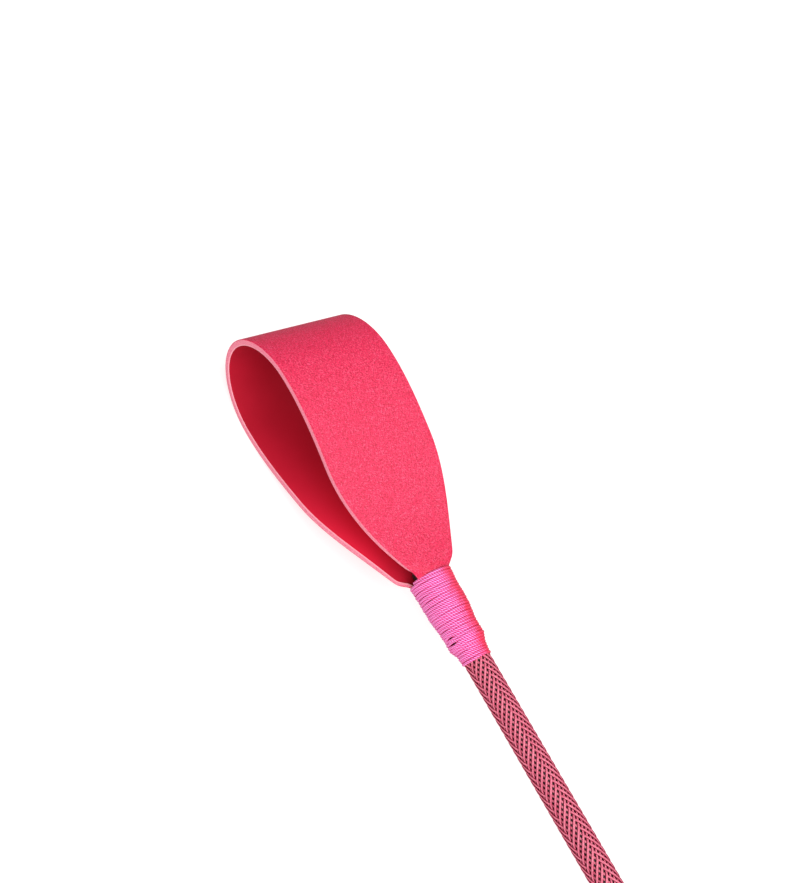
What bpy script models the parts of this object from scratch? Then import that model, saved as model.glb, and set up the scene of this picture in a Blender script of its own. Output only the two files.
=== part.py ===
"""Riding crop: a glass-fibre rod in a braided sleeve, a leather tongue whipped to its tip with
cord, and a leather-wrapped grip with a mushroom cap and a wrist strap at its butt.

The crop lies on a table. Its shaft is level along X, with the tongue towards +X, and it rests
on the lower leaf of the tongue and on the rim of the cap. Metres, +Z up. Stations along the
shaft are first counted from the mouth of the tongue's binding (x = 0, tongue at +x) and are
then moved by MOUTH_X, which puts the origin under the middle of the object.
"""

import math

import bpy
import numpy as np
from mathutils import Matrix

# --- driving dimensions ---
GAP = 0.0003  # between touching or nested pieces
SIDES = 32  # round a turned piece

ROD_RADIUS = 0.0032
ROD_CHAMFER = 0.0004
SLEEVE_RADIUS = 0.00413
ROD_TIP_X = 0.0015  # the rod's tip stands just out of the binding
SLEEVE_TIP_X = -0.009  # the braid is trimmed back under the binding
CROP_LENGTH = 0.500  # from the tongue's fold to the end of the cap

TONGUE_WIDTH = 0.040
TONGUE_NECK_WIDTH = 0.0134
TONGUE_TAPER = 0.041  # length along the leather over which the neck widens
TONGUE_THICKNESS = 0.0022
TONGUE_NECK_DEPTH = 0.0053  # shaft's axis to the leather's outer face at the mouth
TONGUE_DEPTH = 0.0177  # the same where the loop is fullest
TONGUE_FULL_X = 0.0703
TONGUE_NOSE = 0.0235  # from the fullest place to the fold
TONGUE_RISE_POWER = 1.07  # moves the middle of the rise a little towards the fold
TONGUE_DROOP = 0.0035  # how far the fold hangs below the shaft's axis
TONGUE_CUP = 0.0016  # how far the neck's edges turn down round the shaft
TONGUE_CUP_LENGTH = 0.0033
TONGUE_HINGE_X = 0.0015
TONGUE_FREE_X = 0.0036  # the loop starts clear of the binding, so that it can swing

TAIL_END_X = -0.0215
TAIL_MOUTH_RADIUS = 0.0060  # outer face of the tails at the mouth
TAIL_END_RADIUS = 0.00495
TAIL_HALF_ANGLE = math.radians(68)

BINDING_LENGTH = 0.0275
BINDING_MOUTH_RADIUS = 0.0071
BINDING_STEP_RADIUS = 0.0058  # at the end of the tails
BINDING_STEP = 0.0015  # length of the step down to the bare braid
BINDING_END_RADIUS = 0.0048  # over the bare braid

CAP_RADIUS = 0.0197  # as much as the tongue hangs below the shaft's axis
CAP_HEAD = 0.017
CAP_BELLY = 0.55  # where the head is widest, as a part of its length
CAP_FACE_RADIUS = 0.0125
CAP_NECK_RADIUS = 0.0112
SPIGOT_RADIUS = 0.0068
SPIGOT_LENGTH = 0.018

GRIP_LENGTH = 0.150  # from the cap's head to the front of the grip core
GRIP_CORE_RADIUS = 0.0093
GRIP_FRONT_RADIUS = 0.0066
GRIP_NOSE = 0.016  # the length over which the core narrows at its front
WRAP_THICKNESS = 0.0016
FRONT_BINDING_LENGTH = 0.014
FRONT_BINDING_THICKNESS = 0.0008

STRAP_WIDTH = 0.010
STRAP_THICKNESS = 0.0018
STRAP_NECK_DEPTH = 0.0021
STRAP_DEPTH = 0.030
STRAP_FULL_X = 0.082
STRAP_NOSE = 0.036
STRAP_HINGE_X = 0.0010  # beyond the cap's face
STRAP_FREE_X = 0.0052
PIN_RADIUS = 0.0015
PIN_DEPTH = 0.009  # from the end of the cap's head to the pin's axis, along the spigot
STRAP_PAST_PIN = 0.007
CUT_BEYOND = 0.010  # how far a cutter runs past the piece that it cuts

# --- places that follow from them ---
FOLD_X = TONGUE_FULL_X + TONGUE_NOSE
BUTT_X = FOLD_X - CROP_LENGTH
STRAP_END_X = BUTT_X - STRAP_HINGE_X - STRAP_FULL_X - STRAP_NOSE
MOUTH_X = -(FOLD_X + STRAP_END_X) / 2
AXIS_Z = CAP_RADIUS
HEAD_X = BUTT_X + CAP_HEAD
PIN_X = HEAD_X + PIN_DEPTH

PARTS = "riding_crop"
CUTTERS = "riding_crop_cutters"


def clear_scene():
    for obj in list(bpy.data.objects):
        bpy.data.objects.remove(obj, do_unlink=True)


def collection(name):
    made = bpy.data.collections.new(name)
    bpy.context.scene.collection.children.link(made)
    return made


def material(name, colour, roughness, metallic=0.0):
    made = bpy.data.materials.new(name)
    made.use_nodes = True
    shader = made.node_tree.nodes["Principled BSDF"]
    shader.inputs["Base Color"].default_value = (*colour, 1.0)
    shader.inputs["Roughness"].default_value = roughness
    shader.inputs["Metallic"].default_value = metallic
    return made


def add(name, mesh, finish, smooth=True):
    """Links a new object for the mesh into the parts' collection."""
    obj = bpy.data.objects.new(name, mesh)
    mesh.materials.append(finish)
    if smooth:
        mesh.shade_smooth()
        mesh.set_sharp_from_angle(angle=math.radians(40))
    bpy.data.collections[PARTS].objects.link(obj)
    return obj


def turned(name, outline, finish, closed):
    """A piece turned about the shaft's axis.

    outline holds (x, radius) pairs down the outer side from the highest x to the lowest and, on
    a piece with a bore (closed), back up the bore. A solid piece starts and ends on the axis.
    """
    mesh = bpy.data.meshes.new(name)
    points = [(radius, 0.0, x) for x, radius in outline]
    edges = [(i, i + 1) for i in range(len(points) - 1)]
    if closed:
        edges.append((len(points) - 1, 0))
    mesh.from_pydata(points, edges, [])
    obj = add(name, mesh, finish, smooth=False)
    obj.location = (MOUTH_X, 0.0, AXIS_Z)
    obj.rotation_euler = (0.0, math.pi / 2, 0.0)
    screw = obj.modifiers.new("turn", "SCREW")
    screw.axis = "Z"
    screw.steps = SIDES
    screw.render_steps = SIDES
    screw.use_merge_vertices = True
    screw.merge_threshold = 0.00001
    return obj


def grid(name, points, finish):
    """An open sheet through a grid of points, rows along the sheet and columns across it."""
    rows, columns = points.shape[:2]
    index = np.arange(rows * columns).reshape(rows, columns)
    quads = np.stack([index[:-1, :-1], index[:-1, 1:], index[1:, 1:], index[1:, :-1]], axis=-1)
    mesh = bpy.data.meshes.new(name)
    mesh.from_pydata(points.reshape(-1, 3).tolist(), [], quads.reshape(-1, 4).tolist())
    return add(name, mesh, finish)


def tube_between(name, outer, inner, finish):
    """A closed wall between two grids of points that share their rows and columns."""
    rows, columns = outer.shape[:2]
    ring = np.concatenate([outer, inner[:, ::-1]], axis=1)
    around = 2 * columns
    index = np.arange(rows * around).reshape(rows, around)
    turn = np.roll(index, -1, axis=1)
    sides = np.stack([index[:-1], index[1:], turn[1:], turn[:-1]], axis=-1).reshape(-1, 4)
    ends = []
    for row, flip in ((index[0], False), (index[-1], True)):
        for i in range(columns - 1):
            face = [row[i], row[i + 1], row[around - 2 - i], row[around - 1 - i]]
            ends.append(face[::-1] if flip else face)
    mesh = bpy.data.meshes.new(name)
    mesh.from_pydata(ring.reshape(-1, 3).tolist(), [], sides.tolist() + ends)
    return add(name, mesh, finish)


def thicken_inwards(obj, thickness):
    wall = obj.modifiers.new("thickness", "SOLIDIFY")
    wall.thickness = thickness
    wall.offset = -1.0
    wall.use_even_offset = True


def cut(obj, cutter):
    cutter.hide_render = True
    cutter.display_type = "WIRE"
    boolean = obj.modifiers.new("cut_" + cutter.name, "BOOLEAN")
    boolean.operation = "DIFFERENCE"
    boolean.solver = "EXACT"
    boolean.object = cutter


def box(name, low, high, where):
    low, high = np.array(low), np.array(high)
    bpy.ops.mesh.primitive_cube_add(size=1.0, location=(low + high) / 2)
    obj = bpy.context.object
    obj.name = name
    obj.data.transform(Matrix.Diagonal((*(high - low), 1.0)))
    return move_to(obj, where)


def cross_pin(name, radius, length, where):
    """A cylinder across the crop, along Y, centred on the pin's axis."""
    bpy.ops.mesh.primitive_cylinder_add(
        vertices=24, radius=radius, depth=length, rotation=(math.pi / 2, 0.0, 0.0),
        location=(MOUTH_X + PIN_X, 0.0, AXIS_Z),
    )
    obj = bpy.context.object
    obj.name = name
    return move_to(obj, where)


def move_to(obj, where):
    for old in list(obj.users_collection):
        old.objects.unlink(obj)
    bpy.data.collections[where].objects.link(obj)
    return obj


def loop_profile(neck_depth, depth, full_x, nose, power, free_x, along, round_steps):
    """The outer face of a strap loop from the side: places along it, depths from the axis.

    The leaf leaves the axis on half a cosine wave from its neck depth to its full depth, and
    turns round the fold on a quarter of an ellipse. The other leaf is its mirror image.
    """
    x = np.linspace(free_x, full_x, along, endpoint=False)
    rise = (1 - np.cos(math.pi * (x / full_x) ** power)) / 2
    z = neck_depth + (depth - neck_depth) * rise
    turn = np.linspace(0, math.pi / 2, round_steps)
    x = np.concatenate([x, full_x + nose * np.sin(turn)])
    z = np.concatenate([z, depth * np.cos(turn)])
    x = np.concatenate([x, x[-2::-1]])
    z = np.concatenate([z, -z[-2::-1]])
    return x, z


def tongue_points(along=26, round_steps=13, across=9):
    """The outer face of the tongue: a loop profile carried across the strap's width."""
    x, z = loop_profile(
        TONGUE_NECK_DEPTH, TONGUE_DEPTH, TONGUE_FULL_X, TONGUE_NOSE, TONGUE_RISE_POWER,
        TONGUE_FREE_X, along, round_steps,
    )
    leaf = np.where(np.arange(len(x)) <= len(x) // 2, 1.0, -1.0)
    run = np.concatenate([[0], np.cumsum(np.hypot(np.diff(x), np.diff(z)))])
    run = np.minimum(run, run[::-1]) + TONGUE_FREE_X
    widen = np.sin(math.pi / 2 * np.minimum(run / TONGUE_TAPER, 1))
    half = (TONGUE_NECK_WIDTH + (TONGUE_WIDTH - TONGUE_NECK_WIDTH) * widen) / 2
    side = np.linspace(1, -1, across)
    cup = TONGUE_CUP * np.exp(-((x / TONGUE_CUP_LENGTH) ** 2))
    droop = TONGUE_DROOP * (x / FOLD_X) ** 2
    points = np.empty((len(x), across, 3))
    points[..., 0] = MOUTH_X + x[:, None]
    points[..., 1] = half[:, None] * side
    points[..., 2] = AXIS_Z + (z - droop)[:, None] - (leaf * cup)[:, None] * side**2
    return points


def make_tongue_loop(leather):
    obj = grid("tongue_loop", tongue_points(), leather)
    thicken_inwards(obj, TONGUE_THICKNESS)


def make_tongue_tails(leather):
    """Each end of the tongue's strap, skived, laid round one side of the shaft."""
    x = np.linspace(-GAP, TAIL_END_X, 8)
    part = x / TAIL_END_X
    outer = TAIL_MOUTH_RADIUS + (TAIL_END_RADIUS - TAIL_MOUTH_RADIUS) * part
    over_sleeve = np.minimum(x / SLEEVE_TIP_X, 1)
    inner = ROD_RADIUS + GAP + (SLEEVE_RADIUS - ROD_RADIUS) * over_sleeve
    angle = np.linspace(TAIL_HALF_ANGLE, -TAIL_HALF_ANGLE, 13)
    for name, side in (("tongue_tail_upper", 1.0), ("tongue_tail_lower", -1.0)):
        walls = []
        for radius in (outer, inner):
            wall = np.empty((len(x), len(angle), 3))
            wall[..., 0] = MOUTH_X + x[:, None]
            wall[..., 1] = side * radius[:, None] * np.sin(angle)
            wall[..., 2] = AXIS_Z + side * radius[:, None] * np.cos(angle)
            walls.append(wall)
        tube_between(name, walls[0], walls[1], leather)


def make_tongue_binding(cord):
    """The whipping as one tapered sleeve, with a step where the tails end."""
    step = TAIL_END_X - GAP
    turned(
        "tongue_binding",
        [
            (0.0, BINDING_MOUTH_RADIUS),
            (TAIL_END_X, BINDING_STEP_RADIUS),
            (TAIL_END_X - BINDING_STEP, BINDING_END_RADIUS),
            (-BINDING_LENGTH, BINDING_END_RADIUS),
            (-BINDING_LENGTH, SLEEVE_RADIUS + GAP),
            (step, SLEEVE_RADIUS + GAP),
            (step, TAIL_END_RADIUS + GAP),
            (0.0, TAIL_MOUTH_RADIUS + GAP),
        ],
        cord,
        closed=True,
    )


def make_core_rod(fibre):
    end = HEAD_X + SPIGOT_LENGTH + 2 * GAP
    turned(
        "core_rod",
        [
            (ROD_TIP_X, 0.0),
            (ROD_TIP_X, ROD_RADIUS - ROD_CHAMFER),
            (ROD_TIP_X - ROD_CHAMFER, ROD_RADIUS),
            (end, ROD_RADIUS),
            (end, 0.0),
        ],
        fibre,
        closed=False,
    )


def make_braid_sleeve(braid):
    end = HEAD_X + SPIGOT_LENGTH + 4 * GAP
    turned(
        "braid_sleeve",
        [
            (SLEEVE_TIP_X, SLEEVE_RADIUS),
            (end, SLEEVE_RADIUS),
            (end, ROD_RADIUS + GAP),
            (SLEEVE_TIP_X, ROD_RADIUS + GAP),
        ],
        braid,
        closed=True,
    )


def make_grip_core(rubber):
    """The tube under the grip: bored for the sleeve, counterbored for the cap's spigot."""
    back = HEAD_X + GAP
    front = HEAD_X + GRIP_LENGTH
    socket = HEAD_X + SPIGOT_LENGTH + 3 * GAP
    core = turned(
        "grip_core",
        [
            (front, GRIP_FRONT_RADIUS),
            (front - GRIP_NOSE, GRIP_CORE_RADIUS),
            (back, GRIP_CORE_RADIUS),
            (back, SPIGOT_RADIUS + GAP),
            (socket, SPIGOT_RADIUS + GAP),
            (socket, SLEEVE_RADIUS + GAP),
            (front, SLEEVE_RADIUS + GAP),
        ],
        rubber,
        closed=True,
    )
    cut(core, cross_pin("pin_cutter", PIN_RADIUS + GAP, 4 * GRIP_CORE_RADIUS, CUTTERS))


def make_grip_wrap(leather):
    """The wound leather as one tube. Its front end narrows with the core."""
    back = HEAD_X + GAP
    front = HEAD_X + GRIP_LENGTH - GRIP_NOSE / 2
    shoulder = HEAD_X + GRIP_LENGTH - GRIP_NOSE
    inner = GRIP_CORE_RADIUS + GAP
    front_inner = (GRIP_CORE_RADIUS + GRIP_FRONT_RADIUS) / 2 + GAP
    turned(
        "grip_wrap",
        [
            (front, front_inner + WRAP_THICKNESS / 2),
            (shoulder, inner + WRAP_THICKNESS),
            (back, inner + WRAP_THICKNESS),
            (back, inner),
            (shoulder, inner),
            (front, front_inner),
        ],
        leather,
        closed=True,
    )


def make_grip_front_binding(cord):
    """Cord whipped from the bare braid, up the grip's nose and onto the leather."""
    front = HEAD_X + GRIP_LENGTH
    wrap_end = front - GRIP_NOSE / 2
    back = wrap_end - FRONT_BINDING_LENGTH / 4
    slope = (GRIP_CORE_RADIUS - GRIP_FRONT_RADIUS) / GRIP_NOSE
    wrap_radius = (GRIP_CORE_RADIUS + GRIP_FRONT_RADIUS) / 2 + 2 * GAP + WRAP_THICKNESS / 2
    wrap_slope = slope + WRAP_THICKNESS / GRIP_NOSE
    back_radius = wrap_radius + wrap_slope * (wrap_end - back)
    nose_radius = GRIP_FRONT_RADIUS + GAP
    tip = back + FRONT_BINDING_LENGTH
    turned(
        "grip_front_binding",
        [
            (tip, SLEEVE_RADIUS + GAP + FRONT_BINDING_THICKNESS),
            (front + GAP, nose_radius + FRONT_BINDING_THICKNESS),
            (wrap_end + GAP, wrap_radius + FRONT_BINDING_THICKNESS),
            (back, back_radius + FRONT_BINDING_THICKNESS),
            (back, back_radius),
            (wrap_end + GAP, wrap_radius),
            (wrap_end + GAP, nose_radius + slope * (front - wrap_end)),
            (front + GAP, nose_radius),
            (front + GAP, SLEEVE_RADIUS + GAP),
            (tip, SLEEVE_RADIUS + GAP),
        ],
        cord,
        closed=True,
    )


def make_butt_cap(plastic):
    """The mushroom cap: flat face, domed shoulder, widest ring, neck and spigot."""
    outline = [(HEAD_X + SPIGOT_LENGTH, 0.0), (HEAD_X + SPIGOT_LENGTH, SPIGOT_RADIUS)]
    outline += [(HEAD_X, SPIGOT_RADIUS), (HEAD_X, CAP_NECK_RADIUS)]
    belly = BUTT_X + CAP_BELLY * CAP_HEAD
    for step in range(1, 7):
        angle = math.pi / 2 * step / 6
        radius = CAP_NECK_RADIUS + (CAP_RADIUS - CAP_NECK_RADIUS) * math.sin(angle)
        outline.append((belly + (HEAD_X - belly) * math.cos(angle), radius))
    for step in range(1, 9):
        angle = math.pi / 2 * step / 8
        radius = CAP_FACE_RADIUS + (CAP_RADIUS - CAP_FACE_RADIUS) * math.cos(angle)
        outline.append((belly - (belly - BUTT_X) * math.sin(angle), radius))
    outline.append((BUTT_X, 0.0))
    cap = turned("butt_cap", outline, plastic, closed=False)
    slot_half_y = STRAP_NECK_DEPTH + GAP
    slot_half_z = STRAP_WIDTH / 2 + GAP
    slot = box(
        "slot_cutter",
        (MOUTH_X + BUTT_X - CUT_BEYOND, -slot_half_y, AXIS_Z - slot_half_z),
        (MOUTH_X + HEAD_X + SPIGOT_LENGTH + CUT_BEYOND, slot_half_y, AXIS_Z + slot_half_z),
        CUTTERS,
    )
    cut(cap, slot)
    cut(cap, bpy.data.objects["pin_cutter"])


def make_strap_pin(steel):
    obj = cross_pin("strap_pin", PIN_RADIUS, 2 * GRIP_CORE_RADIUS - GAP, PARTS)
    obj.data.materials.append(steel)
    obj.data.shade_smooth()
    obj.data.set_sharp_from_angle(angle=math.radians(40))


def make_strap_tails(leather):
    """The two ends of the wrist strap side by side in the slot, each holed for the pin."""
    near = MOUTH_X + BUTT_X + GAP
    deep = MOUTH_X + PIN_X + STRAP_PAST_PIN
    low, high = AXIS_Z - STRAP_WIDTH / 2, AXIS_Z + STRAP_WIDTH / 2
    for name, side in (("wrist_strap_tail_near", 1), ("wrist_strap_tail_far", -1)):
        inner, outer = STRAP_NECK_DEPTH - STRAP_THICKNESS, STRAP_NECK_DEPTH
        across = sorted((side * inner, side * outer))
        obj = box(name, (near, across[0], low), (deep, across[1], high), PARTS)
        obj.data.materials.append(leather)
        cut(obj, bpy.data.objects["pin_cutter"])


def make_wrist_strap_loop(leather):
    """The wrist loop: the tongue's kind of profile, laid flat, with the strap on its edge."""
    x, y = loop_profile(
        STRAP_NECK_DEPTH, STRAP_DEPTH, STRAP_FULL_X, STRAP_NOSE, 1.0, STRAP_FREE_X, 24, 13
    )
    points = np.empty((len(x), 3, 3))
    points[..., 0] = MOUTH_X + BUTT_X - STRAP_HINGE_X - x[:, None]
    points[..., 1] = y[:, None]
    points[..., 2] = AXIS_Z + STRAP_WIDTH / 2 * np.linspace(1, -1, 3)
    obj = grid("wrist_strap_loop", points, leather)
    thicken_inwards(obj, STRAP_THICKNESS)


def main():
    clear_scene()
    collection(PARTS)
    collection(CUTTERS)
    pink_leather = material("pink_leather", (0.87, 0.03, 0.10), 0.5)
    pink_cord = material("pink_cord", (0.95, 0.10, 0.45), 0.35)
    rose_braid = material("rose_braid", (0.72, 0.16, 0.26), 0.5)
    black_fibre = material("black_fibre", (0.02, 0.018, 0.016), 0.45)
    black_rubber = material("black_rubber", (0.03, 0.03, 0.03), 0.7)
    black_plastic = material("black_plastic", (0.02, 0.02, 0.02), 0.4)
    black_leather = material("black_leather", (0.03, 0.026, 0.026), 0.55)
    steel = material("steel", (0.6, 0.6, 0.6), 0.3, 1.0)
    make_core_rod(black_fibre)
    make_braid_sleeve(rose_braid)
    make_tongue_tails(pink_leather)
    make_tongue_loop(pink_leather)
    make_tongue_binding(pink_cord)
    make_grip_core(black_rubber)
    make_grip_wrap(black_leather)
    make_grip_front_binding(pink_cord)
    make_butt_cap(black_plastic)
    make_strap_pin(steel)
    make_strap_tails(black_leather)
    make_wrist_strap_loop(black_leather)


main()
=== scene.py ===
import math
import bpy
import numpy as np
from mathutils import Matrix, Vector


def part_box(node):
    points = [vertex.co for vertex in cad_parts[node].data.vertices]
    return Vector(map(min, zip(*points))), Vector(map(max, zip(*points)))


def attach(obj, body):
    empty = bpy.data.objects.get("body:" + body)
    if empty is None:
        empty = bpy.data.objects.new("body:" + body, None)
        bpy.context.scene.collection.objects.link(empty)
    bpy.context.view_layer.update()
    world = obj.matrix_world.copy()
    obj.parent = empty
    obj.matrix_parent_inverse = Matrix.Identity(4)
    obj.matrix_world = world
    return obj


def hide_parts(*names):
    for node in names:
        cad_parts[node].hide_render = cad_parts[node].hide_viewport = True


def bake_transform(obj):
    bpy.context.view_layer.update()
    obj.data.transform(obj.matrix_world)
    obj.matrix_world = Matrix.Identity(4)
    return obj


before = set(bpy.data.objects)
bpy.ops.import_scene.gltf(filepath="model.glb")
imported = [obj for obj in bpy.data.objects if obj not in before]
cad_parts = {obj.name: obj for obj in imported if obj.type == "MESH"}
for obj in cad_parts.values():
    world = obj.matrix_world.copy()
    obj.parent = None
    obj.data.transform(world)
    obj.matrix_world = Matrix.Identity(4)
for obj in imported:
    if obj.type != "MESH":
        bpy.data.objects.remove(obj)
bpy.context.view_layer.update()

# --- The shaft's axis ---------------------------------------------------------------------
# Every piece of the crop is made round or along one level line. Places along it are counted
# from the mouth of the tongue's binding, +x towards the tongue, in metres.
mouth_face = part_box("tongue_binding")[1].x
axis_height = (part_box("tongue_binding")[0].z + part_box("tongue_binding")[1].z) / 2
CROP_START = np.array([mouth_face, 0.0, axis_height])


# --- Glass-fibre rod ----------------------------------------------------------------------
# The spring of the crop: a pultruded rod of black glass fibre, sawn off square and broken
# at the corner. Only its tip shows, between the two leaves of the tongue.
ROD_BREAK = 0.0004
ROD_FACETS = 48  # straight edges round the rod, and round the sleeve on its tip
ROD_BLACK = "#1c1816"
ROD_STREAK = "#3a322c"


def linear(hex_colour):
    """An sRGB hex colour as linear red, green, blue and alpha."""
    value = np.array([int(hex_colour[i:i + 2], 16) for i in (1, 3, 5)]) / 255
    low = value / 12.92
    high = ((value + 0.055) / 1.055) ** 2.4
    return (*np.where(value <= 0.04045, low, high).tolist(), 1.0)


def node(tree, kind, feeds=None, **settings):
    """Adds a node. A setting that names a socket sets it, and any other sets a property.

    feeds maps the node's input sockets to the outputs that feed them, or to constants.
    """
    made = tree.nodes.new(kind)
    properties = {key: value for key, value in settings.items() if hasattr(made, key)}
    for key, value in properties.items():
        setattr(made, key, value)
    for key, value in settings.items():
        if key not in properties:
            made.inputs[key.replace("_", " ")].default_value = value
    for socket, source in (feeds or {}).items():
        if isinstance(source, bpy.types.NodeSocket):
            tree.links.new(source, made.inputs[socket])
        else:
            made.inputs[socket].default_value = source
    return made


def finish(name, **constants):
    """A new material, its node tree and its Principled shader, whose sockets get the constants."""
    material = bpy.data.materials.new(name)
    material.use_nodes = True
    shader = material.node_tree.nodes["Principled BSDF"]
    for socket, value in constants.items():
        shader.inputs[socket.replace("_", " ")].default_value = value
    return material, material.node_tree, shader


def skin(name, rings, run=None):
    """Joins rings into one closed skin, or several: points[skin, ring, point round the ring].

    Each ring is joined to the next and the first and last are closed with a flat face. The
    UV map holds the run along the rings in metres and the turn round them from 0 to 1. A skin
    whose signed volume comes out negative has its faces turned round.
    """
    rings = np.asarray(rings, float)
    if rings.ndim == 3:
        rings = rings[None]
    skins, count, round_ = rings.shape[:3]
    index = np.arange(skins * count * round_).reshape(skins, count, round_)
    beside = np.roll(index, -1, axis=2)
    quads = np.stack([index[:, :-1], beside[:, :-1], beside[:, 1:], index[:, 1:]], axis=-1)
    quads = quads.reshape(-1, 4)
    points = rings.reshape(-1, 3)
    corner = points[quads]
    volume = np.einsum("ij,ij->", corner[:, 0], np.cross(corner[:, 1], corner[:, 2]))
    volume += np.einsum("ij,ij->", corner[:, 0], np.cross(corner[:, 2], corner[:, 3]))
    first, last = index[:, 0, ::-1], index[:, -1]
    for cap in (first, last):
        fan = points[cap] - points[cap].mean(axis=1, keepdims=True)
        around = np.cross(fan, np.roll(fan, -1, axis=1)).sum(axis=1)
        volume += np.einsum("ij,ij->", around, points[cap].mean(axis=1))
    if volume < 0:
        quads, first, last = quads[:, ::-1], first[:, ::-1], last[:, ::-1]
    mesh = bpy.data.meshes.new(name)
    mesh.from_pydata(points.tolist(), [], quads.tolist() + first.tolist() + last.tolist())
    if run is None:
        step = np.linalg.norm(np.diff(rings.mean(axis=2), axis=1), axis=2)
        run = np.concatenate([np.zeros((skins, 1)), np.cumsum(step, axis=1)], axis=1)
    corners = np.empty(len(mesh.loops), np.int64)
    mesh.loops.foreach_get("vertex_index", corners)
    along = np.repeat(np.asarray(run, float).reshape(skins, -1, 1), round_, axis=2)
    turn = np.broadcast_to(np.arange(round_) / round_, rings.shape[:3])
    uv = np.stack([along.reshape(-1)[corners], turn.reshape(-1)[corners]], axis=-1)
    side = uv[:quads.size].reshape(-1, 4, 2)
    seam = side[..., 1].max(axis=1) - side[..., 1].min(axis=1) > 0.5
    side[seam, :, 1] = np.where(side[seam, :, 1] < 0.5, side[seam, :, 1] + 1, side[seam, :, 1])
    layer = mesh.uv_layers.new(name="run_and_turn")
    layer.data.foreach_set("uv", uv.astype(np.float32).ravel())
    mesh.shade_smooth()
    mesh.set_sharp_from_angle(angle=math.radians(38))
    made = bpy.data.objects.new(name, mesh)
    bpy.context.scene.collection.objects.link(made)
    return made


def turned(x, radius, around):
    """Rings round the shaft's axis at places x, each with its own radius."""
    x, radius = np.asarray(x, float), np.asarray(radius, float)
    angle = np.linspace(0, 2 * math.pi, around, endpoint=False)
    rings = np.empty((len(x), around, 3))
    rings[..., 0] = x[:, None]
    rings[..., 1] = radius[:, None] * np.cos(angle)
    rings[..., 2] = radius[:, None] * np.sin(angle)
    return rings + CROP_START


def black_glass_fibre():
    """Pultruded glass fibre: satin black with faint pale streaks along the fibres."""
    material, tree, shader = finish("pultruded_black_glass_fibre", Roughness=0.45)
    place = node(tree, "ShaderNodeTexCoord")
    drawn = node(tree, "ShaderNodeMapping", {"Vector": place.outputs["Object"]}, Scale=(60, 3000, 3000))
    streaks = node(tree, "ShaderNodeTexNoise", {"Vector": drawn.outputs["Vector"]}, Scale=1.0, Detail=2.0)
    colour = node(tree, "ShaderNodeMix", {"Factor": streaks.outputs["Fac"]}, data_type="RGBA",
                  A=linear(ROD_BLACK), B=linear(ROD_STREAK))
    tree.links.new(colour.outputs["Result"], shader.inputs["Base Color"])
    bump = node(tree, "ShaderNodeBump", {"Height": streaks.outputs["Fac"]}, Strength=0.3, Distance=0.00003)
    tree.links.new(bump.outputs["Normal"], shader.inputs["Normal"])
    return material


rod_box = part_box("core_rod")
rod_radius = (rod_box[1].y - rod_box[0].y) / 2
rod_tip = rod_box[1].x - mouth_face
rod_butt = rod_box[0].x - mouth_face
corner_turn = np.linspace(0, math.pi / 2, 5)
rod_x = np.concatenate([rod_tip - ROD_BREAK * (1 - np.cos(corner_turn)), [rod_butt]])
rod_r = np.concatenate([rod_radius - ROD_BREAK * (1 - np.sin(corner_turn)), [rod_radius]])
rod = skin("core_rod_tip_to_butt", turned(rod_x, rod_r, ROD_FACETS))
rod.data.materials.append(black_glass_fibre())
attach(rod, "handle")
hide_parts("core_rod")


# --- Braided sleeve -----------------------------------------------------------------------
# Sixteen nylon strands run each way round the rod. Which way lies on top changes six times
# round the shaft, so that long floats meet in chevrons and small dark eyes stay open between.
STRANDS_EACH_WAY = 16
STRAND_WIDTH = 0.00072
STRAND_THICKNESS = 0.00050
STRAND_PROUD = 0.00010  # the floats swell this far over the sleeve
STRAND_RINGS, STRAND_FACETS = 80, 8  # rings in one turn round the shaft, and edges of a ring
FILAMENT_LINES = 16  # that show round one strand
BRAID_LEAD = 0.0386  # length of shaft in which a strand goes once round
FLOAT_CROSSINGS = (5, 5, 6, 5, 5, 6)  # crossings in each chevron column, 32 round the shaft
FLOAT_TURN = math.radians(76.8)  # where round the shaft the first column starts
FIRST_TURN = math.radians(3.7)  # where round the shaft the first strands start
BRAID_UNDER_GRIP = 0.010
BRAID_ROSE = "#ff96ac"
BRAID_DEEP = "#dc4468"
# the colour of the painted shade on the strands' flanks
BRAID_FLANK_SHADE = "#8c0030"


def float_side(angle):
    """1 where the right-hand strands lie on top at that angle, -1 where they lie below.

    It passes through 0 at each border of the chevron columns, within half a crossing of it.
    """
    crossing = math.pi / STRANDS_EACH_WAY
    borders = np.concatenate([[0], np.cumsum(FLOAT_CROSSINGS)]) * crossing
    turn = np.mod(angle - FLOAT_TURN, 2 * math.pi)
    side = np.ones_like(turn)
    for i, border in enumerate(borders[:-1]):
        way = 1.0 if i % 2 == 0 else -1.0
        side = np.where(turn >= border, way, side)
    nearest = np.abs(turn[..., None] - borders).min(axis=-1)
    return side * np.clip(nearest / (crossing / 2), 0, 1)


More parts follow.
